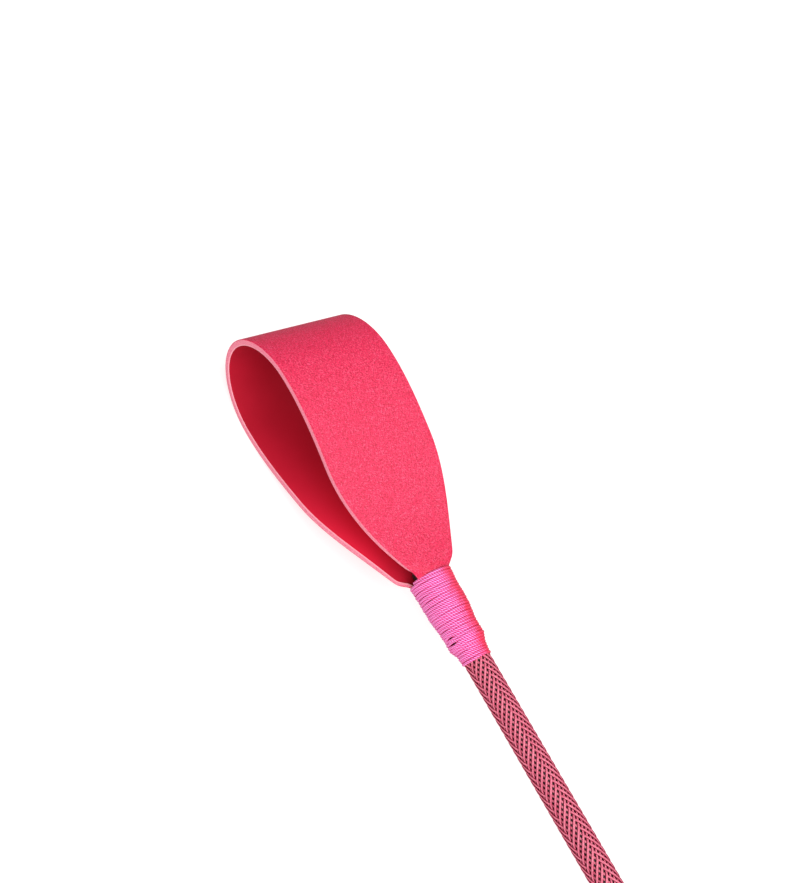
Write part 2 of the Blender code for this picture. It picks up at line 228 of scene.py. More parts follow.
def braid_strands(name, way, start, end, top_radius):
    """Strands as helices: the angle grows evenly with x, one way or the other.

    A strand rises to the top of the braid on the columns where its own way floats and lies
    one thickness lower where it goes under. Its section is a flat ellipse.
    """
    x = np.linspace(start, end, int((start - end) / BRAID_LEAD * STRAND_RINGS))
    first = 2 * math.pi * np.arange(STRANDS_EACH_WAY)[:, None] / STRANDS_EACH_WAY + FIRST_TURN
    angle = first + way * 2 * math.pi * (start - x) / BRAID_LEAD
    middle = top_radius - STRAND_THICKNESS
    radius = middle + way * float_side(angle) * STRAND_THICKNESS * 0.5
    path = np.stack([np.broadcast_to(x, angle.shape), radius * np.cos(angle), radius * np.sin(angle)], -1)
    along = np.gradient(path, axis=1)
    along /= np.linalg.norm(along, axis=-1, keepdims=True)
    out = np.stack([np.zeros_like(angle), np.cos(angle), np.sin(angle)], -1)
    across = np.cross(along, out)
    across /= np.linalg.norm(across, axis=-1, keepdims=True)
    out = np.cross(across, along)
    turn = np.linspace(0, 2 * math.pi, STRAND_FACETS, endpoint=False)[:, None]
    ring = (
        STRAND_WIDTH / 2 * np.cos(turn) * across[:, :, None]
        + STRAND_THICKNESS / 2 * np.sin(turn) * out[:, :, None]
    )
    return skin(name, path[:, :, None] + ring + CROP_START)


def waves_round(tree, turn, waves):
    """The sine of the turn round a strand or cord: one wave is 1 on its side off the shaft."""
    angle = node(tree, "ShaderNodeMath", {0: turn, 1: 2 * math.pi * waves}, operation="MULTIPLY")
    return node(tree, "ShaderNodeMath", {0: angle.outputs["Value"]}, operation="SINE").outputs["Value"]


def braided_nylon():
    """Bundles of nylon filament: a soft satin rose, paler on the crown of each strand, with painted shade
    darkening its flanks.

    Fine lines along the strand are its filaments, drawn about 0.1 mm apart.
    """
    material, tree, shader = finish("braided_rose_nylon", Roughness=0.34)
    strand = node(tree, "ShaderNodeUVMap", uv_map="run_and_turn")
    parts = node(tree, "ShaderNodeSeparateXYZ", {"Vector": strand.outputs["UV"]})
    filament = waves_round(tree, parts.outputs["Y"], FILAMENT_LINES)
    place = node(tree, "ShaderNodeTexCoord")
    blotch = node(tree, "ShaderNodeTexNoise", {"Vector": place.outputs["Object"]}, Scale=900.0, Detail=3.0)
    worn = blotch.outputs["Fac"]
    ridges = node(tree, "ShaderNodeMath", {0: worn, 1: filament, 2: worn}, operation="MULTIPLY_ADD")
    mixed_tone = node(tree, "ShaderNodeMix", {"Factor": worn}, data_type="RGBA",
               A=linear(BRAID_DEEP), B=linear(BRAID_ROSE))
    # Painted shade: away from its crown, each strand is mixed towards a deep crimson.
    outwards = waves_round(tree, parts.outputs["Y"], 1)
    lit = node(tree, "ShaderNodeMapRange", {"Value": outwards}, interpolation_type="SMOOTHSTEP",
               From_Min=0.2, From_Max=0.9)
    colour = node(tree, "ShaderNodeMix", {"Factor": lit.outputs["Result"], "B": mixed_tone.outputs["Result"]},
                  data_type="RGBA", A=linear(BRAID_FLANK_SHADE))
    tree.links.new(colour.outputs["Result"], shader.inputs["Base Color"])
    bump = node(tree, "ShaderNodeBump", {"Height": ridges.outputs["Value"]}, Strength=0.35, Distance=0.00004)
    tree.links.new(bump.outputs["Normal"], shader.inputs["Normal"])
    return material


sleeve_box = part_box("braid_sleeve")
sleeve_radius = (sleeve_box[1].y - sleeve_box[0].y) / 2
sleeve_start = sleeve_box[1].x - mouth_face
sleeve_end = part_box("grip_core")[1].x - mouth_face - BRAID_UNDER_GRIP
braid = braided_nylon()
for braid_name, braid_way in (("braid_right_hand", 1), ("braid_left_hand", -1)):
    strands = braid_strands(braid_name, braid_way, sleeve_start, sleeve_end, sleeve_radius + STRAND_PROUD)
    strands.data.materials.append(braid)
    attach(strands, "handle")
    if braid_way == 1:
        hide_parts("braid_sleeve")


# --- Tongue -------------------------------------------------------------------------------
# One strap of coated leather, folded back on itself. Its ends are skived and laid on the
# shaft, so the neck is pinched round the rod and opens into a loop as wide as the strap.
TONGUE_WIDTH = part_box("tongue_loop")[1].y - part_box("tongue_loop")[0].y
TONGUE_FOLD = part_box("tongue_loop")[1].x - mouth_face
TONGUE_THICKNESS = 0.0020
NECK_THICKNESS = 0.0011  # the strap is skived thin where it goes under the cord
NECK_SKIVE = 0.020  # length over which it gets its full thickness
TONGUE_NECK_WIDTH = 0.0134
TONGUE_TAPER = 0.041  # length along the leather over which the neck widens
TONGUE_NECK_DEPTH = 0.0053  # shaft's axis to the leather's outer face at the mouth
TONGUE_DEPTH = 0.0177  # the same where the loop is fullest
TONGUE_FULL = 0.0703
TONGUE_RISE_POWER = 1.07
TONGUE_DROOP = 0.0035
NECK_PINCH = 0.0024  # how far the edges turn down round the shaft at the mouth
NECK_PINCH_RUN = 0.0021
NECK_CROWN = 0.0007  # how far the middle of the neck stands above the line of its edges
NECK_CROWN_RUN = 0.018
NECK_GATHER = 0.13  # part of the neck's width that wrapping round the shaft takes up
TAIL_LENGTH = 0.0213
TAIL_END_DEPTH = 0.00495
TAIL_END_THICKNESS = 0.0006
TAIL_SHARE, LEAF_SHARE = 0.12, 0.66  # where the tail ends and the fold starts, from 0 to 1
TONGUE_RINGS, TONGUE_ACROSS = 331, 27
EDGE_ROUNDING = 0.00025
GRAIN = 0.00042  # one pebble of the embossed grain
GRAIN_TURN = math.radians(33)  # its wrinkles run aslant to the shaft
GRAIN_DRAWN = 1.9  # length of a pebble, in widths
# The valley colour carries painted shade, the light crown colour painted light, and the pale one is a
# painted highlight.
FACE_PINK = "#da1440"
FACE_PINK_LIGHT = "#fb2a5e"
FACE_PAINTED_GLINT = "#ff80a6"
BACK_PAINTED_LIGHT_RUN = (0.015, 0.085)  # painted light lifts the back fully before the first and is gone from the second
BACK_RED = "#a40a22"
BACK_PINK = "#c01632"
# the paler red of the painted light on the back
BACK_PAINTED_LIGHT = "#e62042"
EDGE_PINK = "#e6607e"
EDGE_PALE = "#ffa0b2"
BURR_PALE = "#ffb6c4"


def doubled(station, tail_share, leaf_share):
    """How far a station lies along the tail and the leaf, 0 to 1, and its turn at the fold.

    station runs from 0 at one tail's end of a doubled strap to 0.5 at the fold, and back to 1,
    so the second half mirrors the first.
    """
    half = 1 - np.abs(2 * station - 1)
    tail = np.clip(half / tail_share, 0, 1)
    leaf = np.clip((half - tail_share) / (leaf_share - tail_share), 0, 1)
    return tail, leaf, np.clip((half - leaf_share) / (1 - leaf_share), 0, 1) * math.pi / 2


def tongue_side(station):
    """The strap from the side: x, depth of its outer face off the axis, and thickness.

    A leaf rises on half a cosine wave and turns round the fold on a quarter of an ellipse;
    the tails go straight and get thinner.
    """
    tail, leaf, turn = doubled(station, TAIL_SHARE, LEAF_SHARE)
    x = TAIL_LENGTH * (tail - 1) + TONGUE_FULL * leaf + (TONGUE_FOLD - TONGUE_FULL) * np.sin(turn)
    rise = (1 - np.cos(math.pi * leaf ** TONGUE_RISE_POWER)) / 2
    depth = (TONGUE_NECK_DEPTH + (TONGUE_DEPTH - TONGUE_NECK_DEPTH) * rise) * np.cos(turn)
    depth = depth - (TONGUE_NECK_DEPTH + NECK_CROWN - TAIL_END_DEPTH) * (1 - tail)
    skive = np.clip(x / NECK_SKIVE, 0, 1)
    thick = NECK_THICKNESS + (TONGUE_THICKNESS - NECK_THICKNESS) * skive * (2 - skive)
    return x, depth, TAIL_END_THICKNESS + (thick - TAIL_END_THICKNESS) * tail


def tongue_half_width(station):
    """Half the strap's width: a quarter of a sine wave of the run along it from the mouth."""
    from_tail = np.linspace(0, 0.5, 2001)
    x, depth, _ = tongue_side(from_tail)
    run = np.concatenate([[0], np.cumsum(np.hypot(np.diff(x), np.diff(depth)))])
    run = np.interp(np.minimum(station, 1 - station), from_tail, run) - np.interp(0.0, x, run)
    widen = np.sin(math.pi / 2 * np.clip(run / TONGUE_TAPER, 0, 1))
    return (TONGUE_NECK_WIDTH + (TONGUE_WIDTH - TONGUE_NECK_WIDTH) * widen) / 2


def tongue_face(station, side):
    """The outer face: tongue_side carried across the strap, side from -1 to 1.

    At the neck the middle stands up in a low crown and the edges turn down round the shaft;
    the crown dies out exponentially along x, and the turned edges as a bell curve of x.
    """
    x, depth, _ = tongue_side(station)
    ahead = np.maximum(x, 0)
    behind = 1 + NECK_GATHER * np.minimum(x, 0) / TAIL_LENGTH
    bell = np.exp(-((ahead / NECK_PINCH_RUN) ** 2))
    crown = NECK_CROWN * np.exp(-ahead / NECK_CROWN_RUN) * np.clip(1 - x / TONGUE_FOLD, 0, 1)
    height = depth + crown * (1 - side**2) - NECK_PINCH * behind * bell * side**2
    leaf = np.where(station <= 0.5, 1.0, -1.0)
    y = tongue_half_width(station) * side * behind * (1 - NECK_GATHER * bell)
    return np.stack([x, y, leaf * height - TONGUE_DROOP * (ahead / TONGUE_FOLD) ** 2], axis=-1)


def strap(name, face, thickness, half_width, station, across, rounding):
    """A rounded rectangle carried along a face: each point lies at its own depth under it.

    The section's points are counted round from one edge over the outer face, round the far
    edge, back over the inner face and round the near edge. A point is moved in from the face
    along the face's normal, which comes from two small steps on it. The mesh's faces get
    material 0 on the outer face and its round corners, 1 on the two cut edges, 2 on the inner
    face and 3 on its corners.
    """
    corner = np.linspace(0, math.pi / 2, 4)
    flat = np.linspace(1, -1, across)
    turn_in, turn_back = corner[1:], corner[:-1]
    place = np.concatenate([flat, -np.ones(6)])
    swell = np.concatenate([0 * flat, -np.sin(turn_in), -np.cos(turn_back)])
    under = np.concatenate([0 * flat, np.zeros(3), np.ones(3)])
    dip = np.concatenate([0 * flat, 1 - np.cos(turn_in), 1 - np.sin(turn_back)])
    place, swell = np.concatenate([place, -place]), np.concatenate([swell, -swell])
    under, dip = np.concatenate([under, 1 - under]), np.concatenate([dip, dip])
    thick, half = thickness(station)[:, None], half_width(station)[:, None]
    side = place * (1 - rounding / half) + swell * rounding / half
    depth = under * thick + (1 - 2 * under) * rounding * dip
    station = np.broadcast_to(station[:, None], side.shape)
    step, sidestep = 1e-5, 0.01
    ahead, back = np.clip(station + step, 0, 1), np.clip(station - step, 0, 1)
    normal = np.cross(face(ahead, side) - face(back, side),
                      face(station, side + sidestep) - face(station, side - sidestep))
    normal /= np.linalg.norm(normal, axis=-1, keepdims=True)
    made = skin(name, face(station, side) - normal * depth[..., None] + CROP_START)
    outer_half = np.repeat([0, 1, 3], [across + 2, 1, 3])
    inner_half = np.repeat([2, 3, 1, 0], [across - 1, 3, 1, 3])
    walls = np.tile(np.concatenate([outer_half, inner_half]), len(station) - 1)
    ends = [1, 1]
    finish_of = np.concatenate([walls, ends]).astype(np.int32)
    made.data.polygons.foreach_set("material_index", finish_of)
    return made


def coated_leather(name, valley, crown, painted_glint, grain, roughness):
    """Leather with a pigmented, embossed coat: fine grain, drawn out one way by the rollers.

    Small pebbles get light crowns between deeper valleys: grain tone, with painted shade in the valleys
    and painted light on the crowns. The highest crowns get a paler painted highlight, and the
    shader gives a broad soft sheen. grain is the size of a pebble in metres.
    """
    material, tree, shader = finish(name, Roughness=roughness, IOR=1.5)
    place = node(tree, "ShaderNodeTexCoord").outputs["Object"]
    drawn = node(tree, "ShaderNodeMapping", {"Vector": place}, vector_type="TEXTURE",
                 Rotation=(0.0, 0.0, GRAIN_TURN), Scale=(GRAIN_DRAWN, 1.0, 1.0)).outputs["Vector"]
    pebble = node(tree, "ShaderNodeTexVoronoi", {"Vector": drawn}, Scale=1 / grain, feature="SMOOTH_F1",
                  Smoothness=0.5)
    wrinkle = node(tree, "ShaderNodeTexNoise", {"Vector": drawn}, Scale=1.6 / grain, Detail=2.0,
                   Roughness=0.55)
    dome = node(tree, "ShaderNodeMapRange", {"Value": pebble.outputs["Distance"]},
                interpolation_type="SMOOTHSTEP", From_Min=0.1, From_Max=0.7, To_Min=0.5, To_Max=0.0)
    fold = node(tree, "ShaderNodeMapRange", {"Value": wrinkle.outputs["Fac"]},
                interpolation_type="SMOOTHSTEP", From_Min=0.34, From_Max=0.66)
    height = node(tree, "ShaderNodeMath", {0: dome.outputs["Result"], 1: fold.outputs["Result"]},
                  operation="ADD")
    # Grain tone, with painted shade in the valleys and painted light on the crowns.
    deep = node(tree, "ShaderNodeMapRange", {"Value": height.outputs["Value"]}, From_Min=0.2, From_Max=0.75)
    colour = node(tree, "ShaderNodeMix", {"Factor": deep.outputs["Result"]}, data_type="RGBA",
                  A=linear(valley), B=linear(crown))
    # Painted highlight: the highest crowns are mixed towards a pale pink.
    high = node(tree, "ShaderNodeMapRange", {"Value": height.outputs["Value"]}, From_Min=0.9, From_Max=1.3,
                To_Max=0.5)
    with_painted_glint = node(tree, "ShaderNodeMix", {"Factor": high.outputs["Result"], "A": colour.outputs["Result"]},
                  data_type="RGBA", B=linear(painted_glint))
    tree.links.new(with_painted_glint.outputs["Result"], shader.inputs["Base Color"])
    bump = node(tree, "ShaderNodeBump", {"Height": height.outputs["Value"]}, Strength=1.0,
                Distance=grain * 0.20)
    tree.links.new(bump.outputs["Normal"], shader.inputs["Normal"])
    return material


def flesh_side(name, dark, light, painted_light):
    """The back of the strap: shaved and dyed through, a smooth dead matte with a faint nap.

    Painted light lifts it towards a paler red just past the mouth, along the rise from the neck and a little
    at the fold; painted shade keeps the mouth itself darker.
    """
    material, tree, shader = finish(name, Roughness=0.75, Specular_IOR_Level=0.2)
    place = node(tree, "ShaderNodeTexCoord").outputs["Object"]
    nap = node(tree, "ShaderNodeTexNoise", {"Vector": place}, Scale=1500.0, Detail=3.0, Roughness=0.6)
    drift = node(tree, "ShaderNodeTexNoise", {"Vector": place}, Scale=60.0, Detail=3.0)
    colour = node(tree, "ShaderNodeMix", {"Factor": drift.outputs["Fac"]}, data_type="RGBA",
                  A=linear(dark), B=linear(light))
    along = node(tree, "ShaderNodeSeparateXYZ", {"Vector": place}).outputs["X"]
    # Painted light and shade: how far each place along the shaft is mixed towards the paler red.
    lit_towards_neck = node(tree, "ShaderNodeMapRange", {"Value": along}, interpolation_type="SMOOTHSTEP",
                   From_Min=mouth_face + BACK_PAINTED_LIGHT_RUN[0], From_Max=mouth_face + BACK_PAINTED_LIGHT_RUN[1],
                   To_Min=1.0, To_Max=0.0)
    lit_at_fold = node(tree, "ShaderNodeMapRange", {"Value": along}, interpolation_type="SMOOTHSTEP",
                   From_Min=mouth_face + TONGUE_FULL, From_Max=mouth_face + TONGUE_FOLD, To_Max=0.15)
    shade_at_mouth = node(tree, "ShaderNodeMapRange", {"Value": along}, interpolation_type="SMOOTHSTEP",
                  From_Min=mouth_face, From_Max=mouth_face + NECK_SKIVE, To_Min=0.3)
    painted_light_share = node(tree, "ShaderNodeMath",
                {0: lit_towards_neck.outputs["Result"], 1: shade_at_mouth.outputs["Result"], 2: lit_at_fold.outputs["Result"]},
                operation="MULTIPLY_ADD")
    mixed_tone = node(tree, "ShaderNodeMix", {"Factor": painted_light_share.outputs["Value"], "A": colour.outputs["Result"]},
               data_type="RGBA", B=linear(painted_light))
    tree.links.new(mixed_tone.outputs["Result"], shader.inputs["Base Color"])
    bump = node(tree, "ShaderNodeBump", {"Height": nap.outputs["Fac"]}, Strength=0.3, Distance=0.00008)
    tree.links.new(bump.outputs["Normal"], shader.inputs["Normal"])
    return material


def cut_edge(name, dark, light):
    """A knife-cut edge: bare fibres, paler than both faces, in grains of a third of a millimetre."""
    material, tree, shader = finish(name, Roughness=0.75)
    place = node(tree, "ShaderNodeTexCoord").outputs["Object"]
    fibres = node(tree, "ShaderNodeTexNoise", {"Vector": place}, Scale=2600.0, Detail=4.0, Roughness=0.7)
    steep = node(tree, "ShaderNodeMapRange", {"Value": fibres.outputs["Fac"]}, From_Min=0.35, From_Max=0.65)
    colour = node(tree, "ShaderNodeMix", {"Factor": steep.outputs["Result"]}, data_type="RGBA",
                  A=linear(dark), B=linear(light))
    tree.links.new(colour.outputs["Result"], shader.inputs["Base Color"])
    bump = node(tree, "ShaderNodeBump", {"Height": fibres.outputs["Fac"]}, Strength=0.5, Distance=0.00015)
    tree.links.new(bump.outputs["Normal"], shader.inputs["Normal"])
    return material


tongue = strap("tongue_strap", tongue_face, lambda station: tongue_side(station)[2], tongue_half_width,
               np.linspace(0, 1, TONGUE_RINGS), TONGUE_ACROSS, EDGE_ROUNDING)
for leather in (
    coated_leather("pebbled_pink_leather", FACE_PINK, FACE_PINK_LIGHT, FACE_PAINTED_GLINT, GRAIN, roughness=0.31),
    cut_edge("cut_edge_of_pink_leather", EDGE_PINK, EDGE_PALE),
    flesh_side("red_flesh_side", BACK_RED, BACK_PINK, BACK_PAINTED_LIGHT),
    cut_edge("raised_burr_of_the_cut", EDGE_PALE, BURR_PALE),
):
    tongue.data.materials.append(leather)
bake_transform(tongue)
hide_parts("tongue_loop", "tongue_tail_upper", "tongue_tail_lower")


# --- Tip sleeve ---------------------------------------------------------------------------
# Black heat-shrink tube, shrunk over the trimmed braid and the rod's tip before the strap
# goes on, so that the strands can't fray. Its round black end shows between the two leaves,
# where it also stands as painted shade: a dark piece filling the shaded mouth.
TIP_SLEEVE_RADIUS = 0.0044
TIP_SLEEVE_FRONT = 0.0042
TIP_SLEEVE_BACK = -0.0080
TIP_SLEEVE_ROUNDING = 0.0012
SHRINK_BLACK = "#211d1c"

shrink_turn = np.linspace(0, math.pi / 2, 9)
shrink_x = TIP_SLEEVE_FRONT - TIP_SLEEVE_ROUNDING * (1 - np.sin(shrink_turn))
shrink_r = TIP_SLEEVE_RADIUS - TIP_SLEEVE_ROUNDING * (1 - np.cos(shrink_turn))
shrink_x = np.concatenate([[TIP_SLEEVE_BACK], shrink_x])
shrink_r = np.concatenate([[TIP_SLEEVE_RADIUS], shrink_r])
# The sleeve's black end between the leaves stands in for the shade in the mouth.
tip_sleeve_and_mouth_shade = skin("tip_heat_shrink", turned(shrink_x, shrink_r, ROD_FACETS))
# Shrunk polyolefin tube: a near-black matte, softly wrinkled where it drew together.
shrink, shrink_tree, shrink_shader = finish("black_heat_shrink_tube", Base_Color=linear(SHRINK_BLACK),
                                            Roughness=0.55)
shrink_place = node(shrink_tree, "ShaderNodeTexCoord").outputs["Object"]
shrink_wrinkle = node(shrink_tree, "ShaderNodeTexNoise", {"Vector": shrink_place}, Scale=900.0, Detail=3.0)
shrink_bump = node(shrink_tree, "ShaderNodeBump", {"Height": shrink_wrinkle.outputs["Fac"]}, Strength=0.5,
                   Distance=0.0002)
shrink_tree.links.new(shrink_bump.outputs["Normal"], shrink_shader.inputs["Normal"])
tip_sleeve_and_mouth_shade.data.materials.append(shrink)
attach(tip_sleeve_and_mouth_shade, "handle")


# --- Binding at the tongue ----------------------------------------------------------------
# Waxed three-ply nylon cord whipped over the tails of the strap and a little way onto the
# bare braid. The turns ride up over the leather, step down behind it, and two stand open.
CORD = 0.00095
CORD_PITCH = 0.00089
CORD_RINGS, CORD_FACETS = 60, 12  # as the strands' of the braid
CORD_UNEVEN = 0.00010  # how far a turn may stand up, down or aside
CORD_BEAT = math.radians(50)  # angle over which that changes
CORD_END_TURN = math.radians(120)  # the part of the first and last turn that dives under
CORD_DIVE = 0.8  # how deep its end lies, in thicknesses of the cord
PLIES = 3
PLY_LAY = 0.00075  # distance along the cord from one ply to the next
BINDING_X = np.array([
    0.7, -1.5, -4, -7, -11.5, -13.4, -15.9, -18.3, -19.3, -20.4, -21.7, -23.0, -24.0, -26.6, -28.2
]) / 1000
BINDING_TOP = np.array([
    7.30, 6.98, 6.80, 6.78, 6.66, 6.44, 6.06, 5.96, 5.88, 6.04, 6.00, 5.44, 4.98, 4.78, 4.66
]) / 1000
MOUTH_SLANT = 0.0003  # the first turns sit further forward on the near side
MOUTH_SLANT_TURN = math.radians(324)
MOUTH_SLANT_RUN = 0.004
SLIT_X = (-0.01887, -0.02063)
SLIT_TURN = math.radians(14)
SLIT_SPREAD = math.radians(15)
SLIT_OPEN = 0.00040
SLIT_REACH = 0.0012  # how far from a slit the turns are pushed aside
SLIT_STEEPNESS = 4
CORD_CORAL = "#ff4866"
# the lilac colour of the painted sheen on one side of the cord
CORD_ORCHID_PAINTED_SHEEN = "#fc52b4"
# the colour of the painted shade in the ply grooves and between the turns
CORD_GROOVE_SHADE = "#e00440"
# a painted highlight on the crowns of the plies
CORD_PAINTED_GLINT = "#ffc2ff"
CORD_THICK_SIDE = 0.0066  # shaft's axis to the outside of the thickest turns
CORD_PAINTED_SHEEN_SIDE = (0.92, 0.39)  # which way from the axis the painted lilac sheen lies, as y and z
CORD_SHEEN = "#e7bcff"


def binding_shift(x, angle):
    """How far a turn is pushed along the shaft: by the slant at the mouth and at the slits."""
    to_near_side = (1 + np.cos(angle - MOUTH_SLANT_TURN)) / 2
    pushed = MOUTH_SLANT * np.exp(-((x / MOUTH_SLANT_RUN) ** 2)) * to_near_side
    turn = np.mod(angle - SLIT_TURN + math.pi, 2 * math.pi) - math.pi
    near = np.exp(-((turn / SLIT_SPREAD) ** 2))
    for slit in SLIT_X:
        away = (x - slit) / SLIT_REACH
        pushed = pushed + SLIT_OPEN * near * np.tanh(away * SLIT_STEEPNESS) * np.exp(-(away**2))
    return pushed


def whipping(name, line_x, line_top, shift, seed):
    """Cord wound round the shaft, a turn every CORD_PITCH along the line x, top(x).

    The line is walked by its arc length, so turns stay together on a slope; the cord's middle
    lies half a cord below it. Each turn stands up to 0.1 mm high or low and 0.1 mm aside, on
    values drawn every 50 degrees and joined smoothly. The first and last third of a turn dive under.
    """
    run = np.concatenate([[0], np.cumsum(np.hypot(np.diff(line_x), np.diff(line_top)))])
    turns = (run[-1] - CORD) / CORD_PITCH
    angle = np.linspace(0, 2 * math.pi * turns, int(turns * CORD_RINGS))
    walked = CORD / 2 + CORD_PITCH * angle / (2 * math.pi)
    x, top = np.interp(walked, run, line_x), np.interp(walked, run, line_top)
    draw = np.random.default_rng(seed)
    beat = angle / CORD_BEAT
    low, ease = beat.astype(int), beat % 1
    ease = ease * ease * (3 - 2 * ease)
    uneven = [draw.uniform(-1, 1, low[-1] + 2) for _ in range(2)]
    up, aside = [values[low] * (1 - ease) + values[low + 1] * ease for values in uneven]
    from_start, from_end = angle / CORD_END_TURN, (angle[-1] - angle) / CORD_END_TURN
    dive = np.clip(1 - from_start, 0, 1) ** 2 + np.clip(1 - from_end, 0, 1) ** 2
    radius = top - CORD / 2 + CORD_UNEVEN * up - CORD * CORD_DIVE * dive
    x = x + shift(x, angle) + CORD_UNEVEN * aside
    path = np.stack([x, radius * np.cos(angle), radius * np.sin(angle)], -1)
    along = np.gradient(path, axis=0)
    along /= np.linalg.norm(along, axis=-1, keepdims=True)
    out = np.stack([0 * angle, np.cos(angle), np.sin(angle)], -1)
    across = np.cross(along, out)
    turn = np.linspace(0, 2 * math.pi, CORD_FACETS, endpoint=False)[:, None]
    ring = CORD / 2 * (np.cos(turn) * across[:, None] + np.sin(turn) * out[:, None])
    return skin(name, path[:, None] + ring + CROP_START)


def twisted_cord(name, groove_shade, coral, lilac, painted_glint):
    """Waxed three-ply nylon: slanting plies 0.75 mm apart along the cord, with grooves between.

    The colour goes from coral on one side of the crop to a painted lilac sheen on the other,
    drifting with noise, and each ply's top carries a painted pale highlight tick on that side.
    The grooves between plies and between turns are darkened with painted shade. The wax gives a soft gloss
    with a violet cast.
    """
    material, tree, shader = finish(name, Roughness=0.5, IOR=1.45, Specular_IOR_Level=1.0,
                                    Specular_Tint=linear(CORD_SHEEN))
    cord = node(tree, "ShaderNodeUVMap", uv_map="run_and_turn")
    parts = node(tree, "ShaderNodeSeparateXYZ", {"Vector": cord.outputs["UV"]})
    lay = node(tree, "ShaderNodeMath", {0: parts.outputs["X"], 1: PLY_LAY}, operation="DIVIDE")
    ply = node(tree, "ShaderNodeMath", {0: parts.outputs["Y"], 1: PLIES, 2: lay.outputs["Value"]},
               operation="MULTIPLY_ADD")
    wave = node(tree, "ShaderNodeMath", {0: ply.outputs["Value"], 1: 0.5}, operation="PINGPONG")
    # Painted shade: the grooves between plies, and the sides of each turn where it meets the next, are mixed
    # towards a dark crimson.
    crown = node(tree, "ShaderNodeMapRange", {"Value": wave.outputs["Value"]},
                 interpolation_type="SMOOTHSTEP", From_Min=0.0, From_Max=0.40, To_Min=0.35)
    outwards = waves_round(tree, parts.outputs["Y"], 1)
    lit = node(tree, "ShaderNodeMapRange", {"Value": outwards},
               interpolation_type="SMOOTHSTEP", From_Min=0.0, From_Max=0.75, To_Min=0.15, To_Max=1.0)
    unshaded_share = node(tree, "ShaderNodeMath", {0: crown.outputs["Result"], 1: lit.outputs["Result"]},
                    operation="MULTIPLY")
    place = node(tree, "ShaderNodeTexCoord").outputs["Object"]
    fuzz = node(tree, "ShaderNodeTexNoise", {"Vector": place}, Scale=3500.0, Detail=3.0)
    drift = node(tree, "ShaderNodeTexNoise", {"Vector": place}, Scale=700.0, Detail=3.0)
    # Painted highlight: the side of the crop that a fixed direction from the axis points to, drifting with
    # noise, is mixed from coral towards a lilac sheen.
    centred = node(tree, "ShaderNodeVectorMath", {0: place, 1: (0.0, 0.0, axis_height)},
                   operation="SUBTRACT")
    painted_sheen_way = (0.0, *(part / CORD_THICK_SIDE for part in CORD_PAINTED_SHEEN_SIDE))
    aside = node(tree, "ShaderNodeVectorMath", {0: centred.outputs["Vector"], 1: painted_sheen_way},
                 operation="DOT_PRODUCT")
    painted_light = node(tree, "ShaderNodeMath", {0: drift.outputs["Fac"], 1: 0.6, 2: aside.outputs["Value"]},
                 operation="MULTIPLY_ADD")
    painted_sheen_share = node(tree, "ShaderNodeMapRange", {"Value": painted_light.outputs["Value"]},
                       interpolation_type="SMOOTHSTEP", From_Min=0.25, From_Max=1.05)
    mixed_tone = node(tree, "ShaderNodeMix", {"Factor": painted_sheen_share.outputs["Result"]}, data_type="RGBA",
               A=linear(coral), B=linear(lilac))
    colour = node(tree, "ShaderNodeMix", {"Factor": unshaded_share.outputs["Value"], "B": mixed_tone.outputs["Result"]},
                  data_type="RGBA", A=linear(groove_shade))
    # Painted highlight: a pale tick on the crown of each ply, on the top of the turn and on the painted
    # sheen side.
    painted_tick = node(tree, "ShaderNodeMapRange", {"Value": wave.outputs["Value"]},
                 interpolation_type="SMOOTHSTEP", From_Min=0.22, From_Max=0.42, To_Max=0.85)
    painted_tick = node(tree, "ShaderNodeMath", {0: painted_tick.outputs["Result"], 1: lit.outputs["Result"]},
                 operation="MULTIPLY")
    painted_tick = node(tree, "ShaderNodeMath", {0: painted_tick.outputs["Value"], 1: painted_sheen_share.outputs["Result"]},
                 operation="MULTIPLY")
    with_painted_ticks = node(tree, "ShaderNodeMix", {"Factor": painted_tick.outputs["Value"], "A": colour.outputs["Result"]},
                  data_type="RGBA", B=linear(painted_glint))
    tree.links.new(with_painted_ticks.outputs["Result"], shader.inputs["Base Color"])
    height = node(tree, "ShaderNodeMath", {0: fuzz.outputs["Fac"], 1: 0.5, 2: crown.outputs["Result"]},
                  operation="MULTIPLY_ADD")
    bump = node(tree, "ShaderNodeBump", {"Height": height.outputs["Value"]}, Strength=0.5, Distance=0.00006)
    tree.links.new(bump.outputs["Normal"], shader.inputs["Normal"])
    return material


binding_cord = twisted_cord("waxed_three_ply_cord", CORD_GROOVE_SHADE, CORD_CORAL, CORD_ORCHID_PAINTED_SHEEN, CORD_PAINTED_GLINT)
binding = whipping("tongue_binding_cord", BINDING_X, BINDING_TOP, binding_shift, seed=11)
binding.data.materials.append(binding_cord)
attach(binding, "handle")
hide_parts("tongue_binding")


# --- Grip ---------------------------------------------------------------------------------
# A moulded black rubber tube is slid on the shaft, and a strip of black leather is wound
# round it with its front edge lying over the turn before. The same pink cord is whipped
# over the strip's front end, down the tube's nose and onto the bare braid.
cap_back, spigot_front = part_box("butt_cap")[0].x - mouth_face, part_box("butt_cap")[1].x - mouth_face
wrap_back, wrap_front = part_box("grip_wrap")[0].x - mouth_face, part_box("grip_wrap")[1].x - mouth_face
core_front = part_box("grip_core")[1].x - mouth_face
core_radius = (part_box("grip_core")[1].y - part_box("grip_core")[0].y) / 2
GRIP_NOSE = 0.016
GRIP_NOSE_RADIUS = 0.0066
STRIP_WIDTH = 0.0205
STRIP_PITCH = 0.0175
STRIP_THICKNESS = 0.00105
STRIP_RISE = 0.00075  # how much higher the strip's front edge lies than its back edge
STRIP_BEND = 0.45  # radius of its rounded edges, in thicknesses
STRIP_THINNED = 0.45  # the part of its height that it loses over the nose
STRIP_CLEAR = 0.00005  # from the rubber to its underside
STRIP_RINGS = 80  # in one turn
